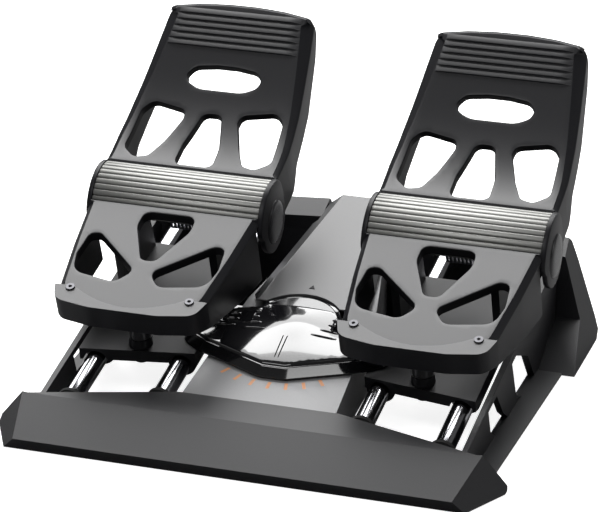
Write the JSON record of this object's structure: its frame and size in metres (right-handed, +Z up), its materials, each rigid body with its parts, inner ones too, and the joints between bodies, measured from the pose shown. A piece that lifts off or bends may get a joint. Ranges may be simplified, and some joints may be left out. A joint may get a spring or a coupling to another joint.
{
  "type": "flight simulator rudder pedals",
  "caption": "Rudder pedals for a flight simulator: two pedals slide on inclined tube rails, joined by a central rocker, each with a hinged toe brake plate.",
  "frame": {"origin": "on the floor plane at the bottom centre of the object's box", "axes": "+X to the user's right, +Y away from the user, +Z up"},
  "size_m": [0.38, 0.361, 0.228],
  "materials": {
    "dark_plastic": "fine matt texture",
    "deck_plastic": "satin grey",
    "orange_print": "matt print",
    "tube_steel": "bright polished",
    "rubber": "matt",
    "plate_steel": "brushed",
    "screw_steel": "bright",
    "spring_steel": "drawn wire",
    "sensor_plastic": "matt",
    "board": "solder resist",
    "gloss_black": "high gloss",
    "bush_bronze": "machined",
    "bush_plastic": "smooth",
    "black_plastic": "matt",
    "column_steel": "satin",
    "pedal_plastic": "fine matt texture",
    "band_metal": "satin anodised",
    "cap_plastic": "satin"
  },
  "bodies": {
    "base": {"front_bar": "dark_plastic", "spine": "deck_plastic", "hump_cover": "deck_plastic", "scale_marks": "orange_print", "rear_beam": "dark_plastic", "left_wing": "dark_plastic", "right_wing": "dark_plastic", "left_side_wall": "dark_plastic", "right_side_wall": "dark_plastic", "left_rails": "tube_steel", "right_rails": "tube_steel", "rail_bumpers": "rubber", "base_plate": "plate_steel", "base_screws": "screw_steel", "rubber_feet": "rubber", "pivot_post": "screw_steel", "centring_spring": "spring_steel", "post_clip": "plate_steel", "rudder_sensor": "sensor_plastic", "control_board": "board", "board_screws": "screw_steel", "cable_inlet": "dark_plastic"},
    "rocker": {"rocker_cover": "gloss_black", "rocker_arm": "plate_steel", "pivot_bush": "bush_bronze", "rocker_screws": "screw_steel", "drive_rollers": "bush_plastic"},
    "left_slide": {"left_carriage": "black_plastic", "left_slide_bushes": "bush_plastic", "left_heel_column": "column_steel", "left_heel_plate": "pedal_plastic", "left_heel_support": "black_plastic", "left_heel_screws": "screw_steel", "left_axle": "screw_steel", "left_brake_sensor": "sensor_plastic"},
    "left_toe": {"left_toe_plate": "pedal_plastic", "left_band": "band_metal", "left_axle_caps": "cap_plastic", "left_toe_spring": "spring_steel"},
    "right_slide": {"right_carriage": "black_plastic", "right_slide_bushes": "bush_plastic", "right_heel_column": "column_steel", "right_heel_plate": "pedal_plastic", "right_heel_support": "black_plastic", "right_heel_screws": "screw_steel", "right_axle": "screw_steel", "right_brake_sensor": "sensor_plastic"},
    "right_toe": {"right_toe_plate": "pedal_plastic", "right_band": "band_metal", "right_axle_caps": "cap_plastic", "right_toe_spring": "spring_steel"}
  },
  "joints": [
    {"name": "right_slide_travel", "type": "slide", "parent": "base", "child": "right_slide", "axis": [0, 0.9823, 0.1874], "range_m": [-0.0307, 0.0307]},
    {"name": "left_slide_travel", "type": "slide", "parent": "base", "child": "left_slide", "axis": [0, 0.9823, 0.1874], "range_m": [-0.0308, 0.0308]},
    {"name": "rudder_turn", "type": "hinge", "parent": "base", "child": "rocker", "pos_m": [0, -0.027, 0.0475], "axis": [0, -0.1874, 0.9823], "range_deg": [-25, 25], "stiffness_Nm_per_rad": 1.5},
    {"name": "right_toe_brake", "type": "hinge", "parent": "right_slide", "child": "right_toe", "pos_m": [0.108, 0.041, 0.107], "axis": [-1, 0, 0], "range_deg": [0, 18], "stiffness_Nm_per_rad": 1.5, "springref_deg": -14.32},
    {"name": "left_toe_brake", "type": "hinge", "parent": "left_slide", "child": "left_toe", "pos_m": [-0.108, 0.041, 0.107], "axis": [-1, 0, 0], "range_deg": [0, 18], "stiffness_Nm_per_rad": 1.5, "springref_deg": -14.32}
  ],
  "couplings": [
    {"joint": "rudder_turn", "follows": "right_slide_travel", "rad_per_m": 14.184},
    {"joint": "left_slide_travel", "follows": "right_slide_travel", "ratio": -1}
  ]
}
